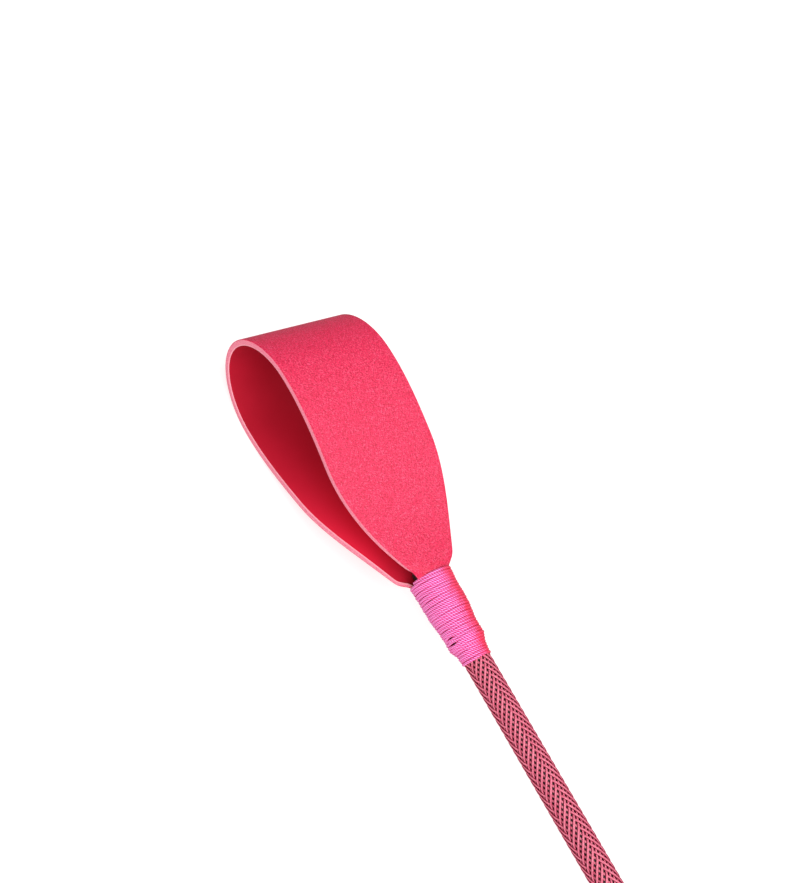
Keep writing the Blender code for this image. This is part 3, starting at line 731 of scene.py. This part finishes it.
# Black leather: black in the valleys, a lighter crown colour that is both wear and painted light, and a
# painted highlight on the highest crowns.
STRIP_BLACK = "#171314"
STRIP_CROWN_WEAR_AND_LIGHT = "#3c3334"
STRIP_PAINTED_GLINT = "#564c4d"
STRIP_GRAIN = 0.00075
RUBBER_BLACK = "#1b1b1b"
FRONT_BINDING_TOP = (0.0053, 0.0077, 0.0098, 0.0110)  # radius, from the bare braid to the strip
NOSE_CLEAR = 0.0003  # from the tube's front to where the cord starts to climb


def wound_strip(name, start, end):
    """A flat strip wound as a helix: a rounded plank's outline, carried round at a slow pitch.

    The outline's points are (place along the shaft, height over the rubber). The height rises
    evenly from the back edge to the front edge, so that each turn overlaps the last. The
    radius under it shrinks evenly over the nose. Both ends are trimmed square to the shaft.
    """
    corner = np.linspace(0, math.pi / 2, 4)
    half, thick, bend = STRIP_WIDTH / 2, STRIP_THICKNESS, STRIP_THICKNESS * STRIP_BEND
    top = np.linspace(half - bend, -half + bend, 9)
    out, down = bend * np.sin(corner[1:]), bend * (1 - np.cos(corner[1:]))
    along = np.concatenate([top, -half + bend - out, -top, half - bend + out])
    under = np.concatenate([0 * top, down, thick + 0 * top, thick - down])
    turns = (start - end + STRIP_WIDTH) / STRIP_PITCH
    angle = np.linspace(0, 2 * math.pi * turns, int(turns * STRIP_RINGS))[:, None]
    place = start + half - STRIP_PITCH * angle / (2 * math.pi)
    x = np.clip(place + along, end, start)
    nose = np.clip((x - (core_front - GRIP_NOSE)) / GRIP_NOSE, 0, 1)
    base = core_radius + STRIP_CLEAR - (core_radius - GRIP_NOSE_RADIUS) * nose
    radius = base + (1 - STRIP_THINNED * nose) * (thick - under + STRIP_RISE * (along / half + 1) / 2)
    points = np.stack([x, radius * np.cos(angle), radius * np.sin(angle)], axis=-1)
    return skin(name, points + CROP_START)


def black_rubber():
    """Moulded rubber: dull black with a fine matte skin and a soft bloom."""
    material, tree, shader = finish("moulded_black_rubber", Base_Color=linear(RUBBER_BLACK))
    place = node(tree, "ShaderNodeTexCoord").outputs["Object"]
    skin_grain = node(tree, "ShaderNodeTexNoise", {"Vector": place}, Scale=1800.0, Detail=2.0)
    bloom = node(tree, "ShaderNodeTexNoise", {"Vector": place}, Scale=80.0, Detail=3.0)
    worn = node(tree, "ShaderNodeMapRange", {"Value": bloom.outputs["Fac"]}, To_Min=0.55, To_Max=0.75)
    tree.links.new(worn.outputs["Result"], shader.inputs["Roughness"])
    bump = node(tree, "ShaderNodeBump", {"Height": skin_grain.outputs["Fac"]}, Strength=0.25,
                Distance=0.00005)
    tree.links.new(bump.outputs["Normal"], shader.inputs["Normal"])
    return material


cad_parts["grip_core"].data.materials.clear()
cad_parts["grip_core"].data.materials.append(black_rubber())

grip = wound_strip("grip_wound_leather", wrap_front, wrap_back)
grip.data.materials.append(coated_leather("grained_black_leather", STRIP_BLACK, STRIP_CROWN_WEAR_AND_LIGHT,
                                          STRIP_PAINTED_GLINT, STRIP_GRAIN, roughness=0.48))
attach(grip, "handle")
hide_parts("grip_wrap")

front_back, front_front = (corner.x - mouth_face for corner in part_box("grip_front_binding"))
front_x = (front_front, core_front + NOSE_CLEAR, wrap_front, front_back)
front_binding = whipping("grip_front_binding_cord", front_x, FRONT_BINDING_TOP,
                         lambda x, angle: 0 * x, seed=23)
front_binding.data.materials.append(binding_cord)
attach(front_binding, "handle")
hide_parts("grip_front_binding")


# --- Butt cap -----------------------------------------------------------------------------
# A turned, moulded black cap, pushed into the rubber tube with its spigot. The ends of the
# wrist strap go in through a slot in its face, and a steel pin crosses them inside.
CAP_HEAD = 0.017
CAP_BELLY = 0.55  # where the head is widest, as a part of its length
CAP_FACE_RADIUS = 0.0125
CAP_NECK_RADIUS = 0.0112
SPIGOT_RADIUS = 0.0068
SPIGOT_LEAD_LENGTH, SPIGOT_LEAD_DEPTH = 0.0008, 0.0005  # the bevel at its end
CAP_FACE_RINGS = (0.0072, 0.0090, 0.0108)  # flat rings between the slot and the face's rim
CAP_LIP = 0.0006  # rounding at the slot's mouth
CAP_FACETS = 96
SLOT_HALF_WIDTH, SLOT_HALF_HEIGHT = 0.0024, 0.0053
SLOT_DEPTH = 0.030
CAP_BLACK = "#191819"
PIN_STEEL = "#b9bcc0"
cap_radius = (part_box("butt_cap")[1].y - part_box("butt_cap")[0].y) / 2


def capped_skin(name, x, radius, slotted, around):
    """A turned outline whose first rings are a rectangle instead of a circle.

    slotted is 1 where a ring is the strap's slot, with radius as its rounding outwards, and 0
    where it is a circle. In between, each point goes evenly from one shape to the other.
    """
    angle = (np.arange(around) + 0.5) * 2 * math.pi / around
    reach = np.minimum(
        SLOT_HALF_WIDTH / np.maximum(np.abs(np.cos(angle)), 1e-9),
        SLOT_HALF_HEIGHT / np.maximum(np.abs(np.sin(angle)), 1e-9),
    )
    x, radius, slotted = (np.asarray(values, float)[:, None] for values in (x, radius, slotted))
    round_y, round_z = radius * np.cos(angle), radius * np.sin(angle)
    flat_y = np.clip(reach * np.cos(angle), -SLOT_HALF_WIDTH, SLOT_HALF_WIDTH) + radius * np.cos(angle)
    flat_z = np.clip(reach * np.sin(angle), -SLOT_HALF_HEIGHT, SLOT_HALF_HEIGHT) + radius * np.sin(angle)
    y = slotted * flat_y + (1 - slotted) * round_y
    z = slotted * flat_z + (1 - slotted) * round_z
    return skin(name, np.stack([x + 0 * y, y, z], axis=-1) + CROP_START)


def moulded_plastic():
    """Moulded ABS with a spark-eroded finish: near black, satin, with a faint fine texture."""
    material, tree, shader = finish("moulded_black_plastic", Base_Color=linear(CAP_BLACK))
    place = node(tree, "ShaderNodeTexCoord").outputs["Object"]
    spark = node(tree, "ShaderNodeTexNoise", {"Vector": place}, Scale=2500.0, Detail=2.0)
    handled = node(tree, "ShaderNodeTexNoise", {"Vector": place}, Scale=120.0, Detail=4.0)
    gloss = node(tree, "ShaderNodeMapRange", {"Value": handled.outputs["Fac"]}, From_Min=0.3, From_Max=0.7,
                 To_Min=0.30, To_Max=0.42)
    tree.links.new(gloss.outputs["Result"], shader.inputs["Roughness"])
    bump = node(tree, "ShaderNodeBump", {"Height": spark.outputs["Fac"]}, Strength=0.2, Distance=0.00003)
    tree.links.new(bump.outputs["Normal"], shader.inputs["Normal"])
    return material


def drawn_steel():
    """Drawn steel pin: bright grey with fine lines round the die."""
    material, tree, shader = finish("drawn_steel", Base_Color=linear(PIN_STEEL), Metallic=1.0)
    place = node(tree, "ShaderNodeTexCoord").outputs["Object"]
    lines = node(tree, "ShaderNodeMapping", {"Vector": place}, Scale=(4000.0, 80.0, 4000.0))
    scratch = node(tree, "ShaderNodeTexNoise", {"Vector": lines.outputs["Vector"]}, Scale=1.0, Detail=2.0)
    rough = node(tree, "ShaderNodeMapRange", {"Value": scratch.outputs["Fac"]}, To_Min=0.22, To_Max=0.38)
    tree.links.new(rough.outputs["Result"], shader.inputs["Roughness"])
    return material


quarter = np.linspace(0, math.pi / 2, 13)
belly = cap_back + CAP_HEAD * CAP_BELLY
lip_turn = np.linspace(0, math.pi / 2, 5)
cap_x = np.concatenate([
    [cap_back + SLOT_DEPTH], cap_back + CAP_LIP * (1 - np.sin(lip_turn)),
    np.full(len(CAP_FACE_RINGS), cap_back), belly - (belly - cap_back) * np.sin(quarter[::-1]),
    belly + CAP_HEAD * (1 - CAP_BELLY) * np.sin(quarter[1:]),
    [cap_back + CAP_HEAD, spigot_front - SPIGOT_LEAD_LENGTH, spigot_front],
])
cap_r = np.concatenate([
    [0], CAP_LIP * (1 - np.cos(lip_turn)),
    CAP_FACE_RINGS, CAP_FACE_RADIUS + (cap_radius - CAP_FACE_RADIUS) * np.cos(quarter[::-1]),
    CAP_NECK_RADIUS + (cap_radius - CAP_NECK_RADIUS) * np.cos(quarter[1:]),
    [SPIGOT_RADIUS, SPIGOT_RADIUS, SPIGOT_RADIUS - SPIGOT_LEAD_DEPTH],
])
cap_slotted = np.concatenate([np.ones(1 + len(lip_turn)), np.zeros(len(cap_x) - 1 - len(lip_turn))])
cap = capped_skin("butt_cap_moulded", cap_x, cap_r, cap_slotted, CAP_FACETS)
cap.data.materials.append(moulded_plastic())
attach(cap, "handle")
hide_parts("butt_cap")

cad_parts["strap_pin"].data.materials.clear()
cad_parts["strap_pin"].data.materials.append(drawn_steel())


# --- Wrist strap --------------------------------------------------------------------------
# One strap of black leather on its edge, doubled into a loop for the hand. Its two ends lie
# face to face in the cap's slot, and waxed thread is stitched along both of its edges.
WRIST_WIDTH = 0.010
WRIST_THICKNESS = 0.0018
WRIST_NECK_DEPTH = 0.0021
WRIST_DEPTH = 0.030
WRIST_FULL = 0.082
WRIST_NOSE = 0.036
WRIST_HINGE = 0.0010  # beyond the cap's face
WRIST_TAIL = 0.034  # length inside the cap
WRIST_TAIL_SHARE, WRIST_LEAF_SHARE = 0.16, 0.66  # this strap's TAIL_SHARE and LEAF_SHARE
WRIST_RINGS, WRIST_ACROSS = 241, 9
STITCH_PITCH = 0.0036
STITCH_RINGS, STITCH_FACETS = 7, 6
STITCH_LENGTH = 0.0029
STITCH_THREAD = 0.00045
STITCH_INSET = 0.0016  # from the strap's edge to the stitches
STITCH_PROUD = 0.00004  # a stitch's middle stands this far off the leather
STITCH_SINK = 0.00010
STITCH_FREE = 0.004  # from the cap to the first and the last stitch
WRIST_EDGE_ROUNDING = 0.0003
WRIST_GRAIN = 0.0006
WRIST_BACK = "#2a2324"
WRIST_NAP = "#352c2d"
INK_BLACK = "#151213"
INK_WORN = "#2e2627"
THREAD_PINK = "#e0407a"


def wrist_side(station):
    """The strap from above: distance beyond the cap's face, depth and thickness.

    As the tongue's side view: tail, half a cosine wave, and a quarter of an ellipse.
    """
    tail, leaf, turn = doubled(station, WRIST_TAIL_SHARE, WRIST_LEAF_SHARE)
    beyond = WRIST_HINGE - WRIST_TAIL * (1 - tail) + WRIST_FULL * leaf + WRIST_NOSE * np.sin(turn)
    rise = (1 - np.cos(math.pi * leaf)) / 2
    depth = (WRIST_NECK_DEPTH + (WRIST_DEPTH - WRIST_NECK_DEPTH) * rise) * np.cos(turn)
    return beyond, depth, np.full_like(station, WRIST_THICKNESS)


def wrist_face(station, side):
    """The outer face: wrist_side carried up the strap's width, side from -1 to 1."""
    beyond, depth, _ = wrist_side(station)
    leaf = np.where(station <= 0.5, 1.0, -1.0)
    return np.stack([cap_back - beyond, leaf * depth, WRIST_WIDTH / 2 * side + 0 * depth], axis=-1)


def saddle_stitches(name, face, inset):
    """Short fat stitches along both edges and both faces of the strap, each its own skin.

    A stitch's middle line follows the face over its length; its radius is half the thread's
    times the square root of a sine wave, and its two ends sink into the leather.
    """
    fine = np.linspace(0, 1, 4001)
    line = face(fine, 0 * fine)
    run = np.concatenate([[0], np.cumsum(np.linalg.norm(np.diff(line, axis=0), axis=1))])
    first, last = WRIST_TAIL + STITCH_FREE, run[-1] - WRIST_TAIL - STITCH_FREE
    starts = np.arange(first, last - STITCH_PITCH, STITCH_PITCH)[:, None]
    share = np.linspace(0, 1, STITCH_RINGS)
    station = np.interp(starts + STITCH_LENGTH * share, run, fine)
    side = 1 - 2 * inset / WRIST_WIDTH + 0 * station
    step = 1e-4
    ahead, back = face(station + step, side), face(station - step, side)
    along = (ahead - back) / np.linalg.norm(ahead - back, axis=-1, keepdims=True)
    up = np.array([0.0, 0.0, 1.0])
    out = np.cross(along, up)
    middle = face(station, side)
    bulge = np.sqrt(np.sin(math.pi * np.clip(share, 0.02, 0.98)))[:, None, None]
    turn = np.linspace(0, 2 * math.pi, STITCH_FACETS, endpoint=False)[:, None]
    rings = []
    ring = STITCH_THREAD / 2 * bulge * (np.cos(turn) * up + np.sin(turn) * out[:, :, None])
    for depth, inwards in ((-STITCH_PROUD, 1), (WRIST_THICKNESS + STITCH_PROUD, -1)):
        sunk = middle - out * (depth + inwards * STITCH_SINK * (1 - bulge[..., 0]))
        for edge in (1, -1):
            rings.append((sunk * [1, 1, edge])[:, :, None] + ring)
    return skin(name, np.concatenate(rings) + CROP_START)


def waxed_thread():
    """Waxed polyester thread: pink, with a waxy gloss and a fine twist."""
    material, tree, shader = finish("waxed_pink_thread", Base_Color=linear(THREAD_PINK), Roughness=0.35)
    place = node(tree, "ShaderNodeTexCoord").outputs["Object"]
    twist = node(tree, "ShaderNodeTexWave", {"Vector": place}, Scale=900.0, Distortion=1.0)
    bump = node(tree, "ShaderNodeBump", {"Height": twist.outputs["Fac"]}, Strength=0.4, Distance=0.00004)
    tree.links.new(bump.outputs["Normal"], shader.inputs["Normal"])
    return material


wrist = strap("wrist_strap", wrist_face, lambda station: wrist_side(station)[2],
              lambda station: np.full_like(station, WRIST_WIDTH / 2),
              np.linspace(0, 1, WRIST_RINGS), WRIST_ACROSS, WRIST_EDGE_ROUNDING)
for leather in (
    coated_leather("grained_black_strap_leather", STRIP_BLACK, STRIP_CROWN_WEAR_AND_LIGHT, STRIP_PAINTED_GLINT, WRIST_GRAIN,
                   roughness=0.5),
    cut_edge("inked_edge_of_black_leather", INK_BLACK, INK_WORN),
    flesh_side("black_flesh_side", WRIST_BACK, WRIST_NAP, WRIST_NAP),
    cut_edge("inked_corner_of_black_leather", INK_BLACK, INK_WORN),
):
    wrist.data.materials.append(leather)
stitches = saddle_stitches("wrist_strap_stitches", wrist_face, STITCH_INSET)
stitches.data.materials.append(waxed_thread())
for piece in (wrist, stitches):
    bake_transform(piece)
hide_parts("wrist_strap_loop", "wrist_strap_tail_near", "wrist_strap_tail_far")


# --- Floor, light and camera --------------------------------------------------------------
# An opal acrylic table, lit a little from below, under a white tent and two broad diffusers:
# the crop lies on it with hardly a shadow.
FLOOR_WHITE = "#ffffff"
TABLE_GREY = "#a8a6a3"
TABLE_GLOW = 0.76
FLOOR_SIZE = 12.0
FLOOR_DROP = 0.0002  # from the crop's lowest point to the table's top
TENT_STRENGTH = 0.20

floor_corner = np.array([[-1, -1], [1, -1], [1, 1], [-1, 1]]) * FLOOR_SIZE / 2
floor_mesh = bpy.data.meshes.new("floor")
floor_mesh.from_pydata(np.c_[floor_corner, np.full(4, -FLOOR_DROP)].tolist(), [], [(0, 1, 2, 3)])
floor = bpy.data.objects.new("floor", floor_mesh)
bpy.context.scene.collection.objects.link(floor)
# Opal acrylic: a milky matte sheet that glows evenly and hardly reflects.
table = finish("opal_acrylic_light_table", Base_Color=linear(TABLE_GREY), Roughness=0.9,
               Specular_IOR_Level=0.1, Emission_Color=linear(FLOOR_WHITE), Emission_Strength=TABLE_GLOW)[0]
floor_mesh.materials.append(table)
floor.visible_glossy = False  # hidden from glossy rays, as black flags would keep the bright table out of the gloss

tent = bpy.data.worlds.new("light_tent")
tent.use_nodes = True
tent_light = tent.node_tree.nodes["Background"]
tent_light.inputs["Color"].default_value = linear(FLOOR_WHITE)
# To the camera the tent's wall is white, however little light it gives.
seen = node(tent.node_tree, "ShaderNodeLightPath").outputs["Is Camera Ray"]
wall = node(tent.node_tree, "ShaderNodeMapRange", {"Value": seen}, To_Min=TENT_STRENGTH, To_Max=1.0)
tent.node_tree.links.new(wall.outputs["Result"], tent_light.inputs["Strength"])
bpy.context.scene.world = tent

for name, strength, spread, towards in (
    ("overhead_diffuser", 2.7, 50, (-0.35, 0.35, 0.87)),
    ("back_diffuser", 0.9, 30, (-0.30, -0.50, 0.81)),
):
    diffuser = bpy.data.lights.new(name, "SUN")
    diffuser.energy = strength
    diffuser.angle = math.radians(spread)
    lamp = bpy.data.objects.new(name, diffuser)
    lamp.rotation_euler = Vector(towards).to_track_quat("Z", "Y").to_euler()
    bpy.context.scene.collection.objects.link(lamp)

lens = bpy.data.cameras.new("camera")
lens.lens = 47.58
lens.sensor_width = 36.0
lens.clip_start = 0.01
camera = bpy.data.objects.new("camera", lens)
right = Vector((-0.48962, -0.76767, 0.41346))
up = Vector((0.82743, -0.25952, 0.49800))
turn_to = Matrix((right, up, right.cross(up))).transposed().to_4x4()
camera.matrix_world = Matrix.Translation((0.158684, 0.202507, 0.302625)) @ turn_to
bpy.context.scene.collection.objects.link(camera)
bpy.context.scene.camera = camera
bpy.context.scene.view_settings.view_transform = "Standard"
